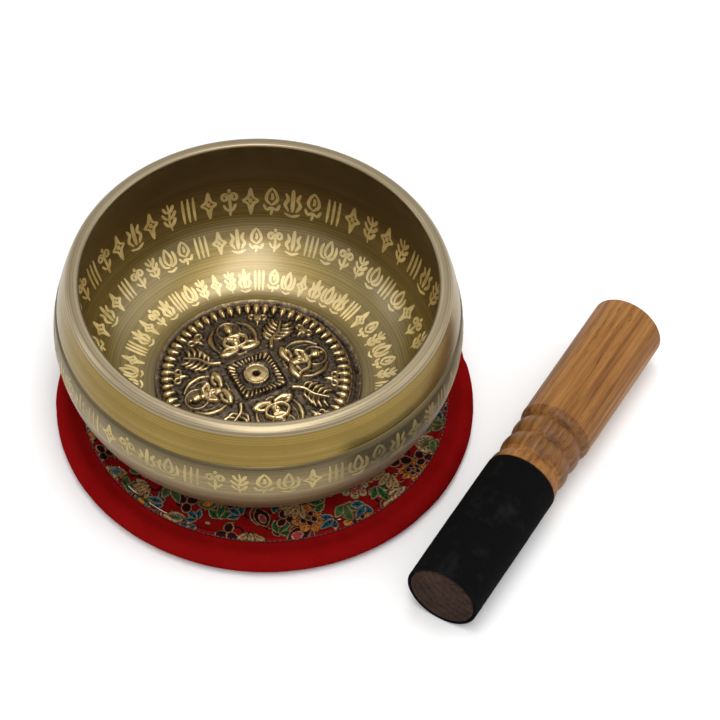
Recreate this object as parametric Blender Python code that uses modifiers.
"""A singing bowl set: a brass bowl with a relief medallion in its floor, standing on a flat round
cushion, and a turned wooden mallet with a suede sleeve lying beside it.

Metres, +Z up. The origin is on the bowl's axis, on the table that the cushion and mallet lie on.
The bowl lifts straight off the cushion along +Z, and the mallet lifts off the table the same way.
"""

import math

import bpy

# ---- Driving dimensions ---------------------------------------------------------------------
GAP = 0.0003  # clearance between pieces that touch
TURN_STEPS = 48  # facets round a large turned piece
MALLET_STEPS = 32

# Bowl: a quarter-round lower body, a groove, and a rim band that leans in to a rounded lip.
BELLY_RADIUS = 0.0725
BELLY_HEIGHT = 0.0443  # height of the widest circle above the table
LOWER_BODY_RADIUS = 0.0363  # of the quarter round between the belly and the flat base
UPPER_BODY_RADIUS = 0.041  # of the arc between the belly and the groove
WALL = 0.0032
LIP_HEIGHT = 0.0685
MOUTH_RADIUS = 0.0629
MOUTH_CHAMFER = (0.0008, 0.0006)  # radial and vertical size of the chamfer inside the lip
LIP_ROUND = 0.0034  # radius of the lip's outer shoulder
LIP_LEAN_DEG = 14.0  # how far the rim band leans in
GROOVE_HEIGHT = 0.0532
GROOVE_HALF_WIDTH = 0.0008
GROOVE_RADIUS = 0.0704

# Medallion: a cast disc set on the bowl's floor, slightly domed, with a boss in the middle.
MEDALLION_RADIUS = 0.0374
MEDALLION_EDGE = 0.0010
MEDALLION_DOME = 0.0030
BOSS_RADIUS = 0.0048
BOSS_HEIGHT = 0.0009

# Cushion: its centre is a little in front of the bowl's axis.
CUSHION_CENTRE = (0.0025, -0.0030)
CUSHION_RADIUS = 0.0760
CUSHION_HEIGHT = 0.0092  # at the rounded border
CLOTH = 0.0010
SEAM_RADIUS = 0.0662  # where the patterned top meets the plain border
SEAM_HEIGHT = 0.0079
BROCADE_TOP = 0.0077
BASE_CLOTH_RADIUS = 0.0687
THREAD_RADIUS = 0.0003

# Mallet: lengths run along its axis from the suede end.
MALLET_CENTRE = (0.0997, -0.0355)
MALLET_HEADING_DEG = 59.3  # direction of the bare wooden end, from +X towards +Y
MALLET_LENGTH = 0.1414
MALLET_RADIUS = 0.0136
SUEDE_LENGTH = 0.0574
SUEDE_THICKNESS = 0.0009
NECK_GROOVES = (0.0630, 0.0717, 0.0802)  # the three grooves round the neck
NECK_GROOVE_RADIUS = 0.0118
BEAD_RADIUS = 0.0131
COLLAR_RADIUS = 0.0133
SHOULDER_LENGTH = 0.0045
END_BEVEL = 0.0007

BOWL_BASE = BROCADE_TOP + GAP
BOWL_FLOOR = BELLY_HEIGHT - LOWER_BODY_RADIUS + WALL
FOOT_RADIUS = BELLY_RADIUS - LOWER_BODY_RADIUS  # of the flat base

# Colours are linear RGB, then roughness and metallic.
MATERIALS = {
    "bowl_brass": ((0.42, 0.31, 0.13), 0.36, 1.0),
    "medallion_brass": ((0.22, 0.15, 0.08), 0.45, 1.0),
    "brocade": ((0.40, 0.05, 0.04), 0.85, 0.0),
    "red_cloth": ((0.45, 0.008, 0.012), 0.9, 0.0),
    "wadding": ((0.80, 0.78, 0.72), 0.95, 0.0),
    "thread": ((0.05, 0.01, 0.01), 0.8, 0.0),
    "mallet_wood": ((0.36, 0.15, 0.055), 0.5, 0.0),
    "suede": ((0.008, 0.008, 0.008), 0.95, 0.0),
}


# ---- Helpers --------------------------------------------------------------------------------
def clear_scene():
    for obj in list(bpy.data.objects):
        bpy.data.objects.remove(obj, do_unlink=True)


def material(name):
    """The named Principled material, made on first use."""
    if name in bpy.data.materials:
        return bpy.data.materials[name]
    colour, roughness, metallic = MATERIALS[name]
    made = bpy.data.materials.new(name)
    made.use_nodes = True
    shader = made.node_tree.nodes["Principled BSDF"]
    shader.inputs["Base Color"].default_value = (*colour, 1.0)
    shader.inputs["Roughness"].default_value = roughness
    shader.inputs["Metallic"].default_value = metallic
    made.diffuse_color = (*colour, 1.0)
    return made


def arc(centre, radius, start_deg, end_deg, count):
    """Points on a circle in the profile's plane, both ends included."""
    points = []
    for i in range(count + 1):
        angle = math.radians(start_deg + (end_deg - start_deg) * i / count)
        points.append((centre[0] + radius * math.cos(angle), centre[1] + radius * math.sin(angle)))
    return points


def bulge(start, end, height, count):
    """Points on an arc from start to end that stands height proud on its left-hand side."""
    (x0, z0), (x1, z1) = start, end
    chord = math.hypot(x1 - x0, z1 - z0)
    along = ((x1 - x0) / chord, (z1 - z0) / chord)
    aside = (-along[1], along[0])
    radius = (chord**2 / 4 + height**2) / (2 * abs(height))
    side = math.copysign(1.0, height)
    points = []
    for i in range(count + 1):
        run = chord * (i / count - 0.5)
        rise = side * (math.sqrt(radius**2 - run**2) - radius) + height
        points.append(
            (
                x0 + along[0] * (run + chord / 2) + aside[0] * rise,
                z0 + along[1] * (run + chord / 2) + aside[1] * rise,
            )
        )
    return points


def turned(name, profile, slot, parent, steps=TURN_STEPS, closed=False, shell=None):
    """Turns a profile of (radius, height) points about the parent's Z axis.

    An open profile that starts and ends on the axis makes a solid. A closed one makes a ring. A
    shell is an open profile with its thickness, which grows to the inside."""
    mesh = bpy.data.meshes.new(name)
    count = len(profile)
    edges = [(i, i + 1) for i in range(count - 1)]
    if closed:
        edges.append((count - 1, 0))
    mesh.from_pydata([(x, 0.0, z) for x, z in profile], edges, [])
    obj = bpy.data.objects.new(name, mesh)
    parts.objects.link(obj)
    obj.parent = parent
    mesh.materials.append(material(slot))
    screw = obj.modifiers.new("turn", "SCREW")
    screw.axis = "Z"
    screw.angle = math.tau
    screw.steps = steps
    screw.render_steps = steps
    screw.use_merge_vertices = True
    screw.merge_threshold = 0.00001
    screw.use_smooth_shade = True
    if shell:
        thickness = obj.modifiers.new("cloth", "SOLIDIFY")
        thickness.thickness = shell
        thickness.offset = -1.0
    return obj


def axis_empty(name, place, rotation=(0.0, 0.0, 0.0)):
    """An empty that a turned piece hangs from, on the axis of its joint."""
    empty = bpy.data.objects.new(name, None)
    empty.empty_display_size = 0.02
    empty.location = place
    empty.rotation_euler = rotation
    parts.objects.link(empty)
    return empty


# ---- Bowl -----------------------------------------------------------------------------------
def bowl_inside():
    """From the middle of the floor, out and up the inner wall, to the foot of the lip's chamfer."""
    inner_radius = LOWER_BODY_RADIUS - WALL
    belly = BELLY_RADIUS - WALL
    edge_height = LIP_HEIGHT - MOUTH_CHAMFER[1]
    rise = edge_height - BELLY_HEIGHT
    inset = belly - MOUTH_RADIUS
    upper_radius = (rise**2 + inset**2) / (2 * inset)
    lip_angle = math.degrees(math.asin(rise / upper_radius))
    floor = [(0.0, BOWL_FLOOR)]
    lower = arc((FOOT_RADIUS, BELLY_HEIGHT), inner_radius, -90, 0, 8)
    upper = arc((belly - upper_radius, BELLY_HEIGHT), upper_radius, 0, lip_angle, 4)
    return floor + lower + upper[1:]


def bowl_outside():
    """From the lip's flat top, round the shoulder, down the band and body, to the base's middle."""
    lip_flat = MOUTH_RADIUS + MOUTH_CHAMFER[0]
    lean = math.radians(LIP_LEAN_DEG)
    groove_top = (GROOVE_RADIUS + GROOVE_HALF_WIDTH, GROOVE_HEIGHT + GROOVE_HALF_WIDTH)
    shoulder_rise = LIP_HEIGHT - LIP_ROUND + LIP_ROUND * math.sin(lean) - groove_top[1]
    shoulder_end = groove_top[0] - shoulder_rise * math.tan(lean)
    shoulder_centre = (shoulder_end - LIP_ROUND * math.cos(lean), LIP_HEIGHT - LIP_ROUND)
    shoulder = arc(shoulder_centre, LIP_ROUND, 90, LIP_LEAN_DEG, 4)
    band = bulge(shoulder[-1], groove_top, 0.0003, 2)
    top_of_body = GROOVE_HEIGHT - GROOVE_HALF_WIDTH
    top_angle = math.degrees(math.asin((top_of_body - BELLY_HEIGHT) / UPPER_BODY_RADIUS))
    body_centre = (BELLY_RADIUS - UPPER_BODY_RADIUS, BELLY_HEIGHT)
    body = arc(body_centre, UPPER_BODY_RADIUS, top_angle, 0, 2)
    lower = arc((FOOT_RADIUS, BELLY_HEIGHT), LOWER_BODY_RADIUS, 0, -90, 9)
    lip_top = [(lip_flat, LIP_HEIGHT)]
    groove = [(GROOVE_RADIUS, GROOVE_HEIGHT)]
    return lip_top + shoulder + band[1:] + groove + body + lower[1:] + [(0.0, BOWL_BASE)]


def build_bowl_shell(bowl_axis):
    return turned("bowl_shell", bowl_inside() + bowl_outside(), "bowl_brass", bowl_axis)


def build_base_medallion(bowl_axis):
    """A disc with a raised edge, a domed face and a low boss."""
    underside = BOWL_FLOOR + GAP
    edge_top = underside + MEDALLION_EDGE
    dome_radius = MEDALLION_RADIUS - 0.0016
    crown = edge_top + MEDALLION_DOME
    face = bulge((BOSS_RADIUS, crown), (dome_radius, edge_top), 0.0004, 6)
    profile = [
        (0.0, crown + BOSS_HEIGHT),
        (BOSS_RADIUS * 0.7, crown + BOSS_HEIGHT * 0.8),
        *face,
        (MEDALLION_RADIUS - 0.0008, edge_top + 0.0002),
        (MEDALLION_RADIUS, edge_top - 0.0002),
        (MEDALLION_RADIUS - 0.0002, underside),
        (0.0, underside),
    ]
    return turned("base_medallion", profile, "medallion_brass", bowl_axis)


# ---- Cushion --------------------------------------------------------------------------------
def edge_round():
    """Radius and centre of the cushion's rounded border."""
    radius = CUSHION_HEIGHT / 2
    return radius, (CUSHION_RADIUS - radius, radius)


def build_cushion_border(cushion_axis):
    """The plain cloth that wraps the border from the top seam round to the underside."""
    radius, centre = edge_round()
    rise = [(SEAM_RADIUS + GAP / 2, SEAM_HEIGHT), (SEAM_RADIUS + 0.0022, CUSHION_HEIGHT - 0.0003)]
    under = [(BASE_CLOTH_RADIUS + GAP, 0.0)]
    profile = rise + arc(centre, radius, 90, -90, 8) + under
    return turned("cushion_border", profile, "red_cloth", cushion_axis, shell=CLOTH)


def build_cushion_filling(cushion_axis):
    """The pad inside the cloth, dished under the patterned top."""
    radius, centre = edge_round()
    top = BROCADE_TOP - CLOTH - GAP
    inner = arc(centre, radius - CLOTH - GAP, 90, -90, 6)
    dish = [(0.0, top), (SEAM_RADIUS + 0.0006, top), (SEAM_RADIUS + 0.0028, top + 0.0009)]
    profile = dish + inner + [(0.0, CLOTH + GAP)]
    return turned("cushion_filling", profile, "wadding", cushion_axis)


def build_cushion_discs(cushion_axis):
    """The patterned top and the plain underside."""
    top_edge = SEAM_RADIUS - GAP / 2
    top = [
        (0.0, BROCADE_TOP),
        (top_edge, BROCADE_TOP),
        (top_edge, BROCADE_TOP - CLOTH),
        (0.0, BROCADE_TOP - CLOTH),
    ]
    turned("cushion_top_brocade", top, "brocade", cushion_axis)
    base = [(0.0, CLOTH), (BASE_CLOTH_RADIUS, CLOTH), (BASE_CLOTH_RADIUS, 0.0), (0.0, 0.0)]
    turned("cushion_base_cloth", base, "red_cloth", cushion_axis)


def build_cushion_stitching(cushion_axis):
    """The ring of thread that closes the seam between the patterned top and the border."""
    centre = (SEAM_RADIUS, SEAM_HEIGHT + THREAD_RADIUS + GAP)
    ring = arc(centre, THREAD_RADIUS, 90, -270, 6)[:-1]
    turned("cushion_stitching", ring, "thread", cushion_axis, closed=True)


# ---- Mallet ---------------------------------------------------------------------------------
def build_mallet_handle(mallet_axis):
    """The turned stick: a plain grip, a neck of two beads between grooves, a collar and the core
    that the suede covers. Its profile runs from the bare end down to the suede end."""
    start = -MALLET_LENGTH / 2
    grooves = [start + place for place in NECK_GROOVES]
    core_radius = MALLET_RADIUS - SUEDE_THICKNESS - GAP
    collar_end = start + SUEDE_LENGTH + GAP
    shoulder_top = (MALLET_RADIUS, grooves[2] + SHOULDER_LENGTH)
    bead_height = BEAD_RADIUS - NECK_GROOVE_RADIUS
    far_end = MALLET_LENGTH / 2
    profile = [(0.0, far_end), (MALLET_RADIUS - END_BEVEL, far_end)]
    profile += [(MALLET_RADIUS, far_end - END_BEVEL)]
    profile += bulge(shoulder_top, (NECK_GROOVE_RADIUS, grooves[2]), 0.0007, 4)
    profile += bulge(
        (NECK_GROOVE_RADIUS, grooves[2]), (NECK_GROOVE_RADIUS, grooves[1]), bead_height, 6
    )[1:]
    profile += bulge(
        (NECK_GROOVE_RADIUS, grooves[1]), (NECK_GROOVE_RADIUS, grooves[0]), bead_height, 6
    )[1:]
    profile += bulge(
        (NECK_GROOVE_RADIUS, grooves[0]), (COLLAR_RADIUS, collar_end), 0.0005, 4
    )[1:]
    profile += [(core_radius, collar_end), (core_radius, start + END_BEVEL / 2)]
    profile += [(core_radius - END_BEVEL / 2, start), (0.0, start)]
    return turned("mallet_handle", profile, "mallet_wood", mallet_axis, steps=MALLET_STEPS)


def build_mallet_suede(mallet_axis):
    """The suede sleeve glued round the striking end."""
    start = -MALLET_LENGTH / 2
    inner = MALLET_RADIUS - SUEDE_THICKNESS
    profile = [
        (inner, start + SUEDE_LENGTH),
        (MALLET_RADIUS, start + SUEDE_LENGTH),
        (MALLET_RADIUS, start),
        (inner, start),
    ]
    return turned("mallet_suede", profile, "suede", mallet_axis, MALLET_STEPS, closed=True)


# ---- Assembly -------------------------------------------------------------------------------
clear_scene()
parts = bpy.data.collections.new("singing_bowl_set")
bpy.context.scene.collection.children.link(parts)

bowl = axis_empty("bowl_axis", (0.0, 0.0, 0.0))
build_bowl_shell(bowl)
build_base_medallion(bowl)

cushion = axis_empty("cushion_axis", (*CUSHION_CENTRE, 0.0))
build_cushion_discs(cushion)
build_cushion_filling(cushion)
build_cushion_border(cushion)
build_cushion_stitching(cushion)

lying = (0.0, math.radians(90), math.radians(MALLET_HEADING_DEG))
mallet = axis_empty("mallet_axis", (*MALLET_CENTRE, MALLET_RADIUS), lying)
build_mallet_handle(mallet)
build_mallet_suede(mallet)
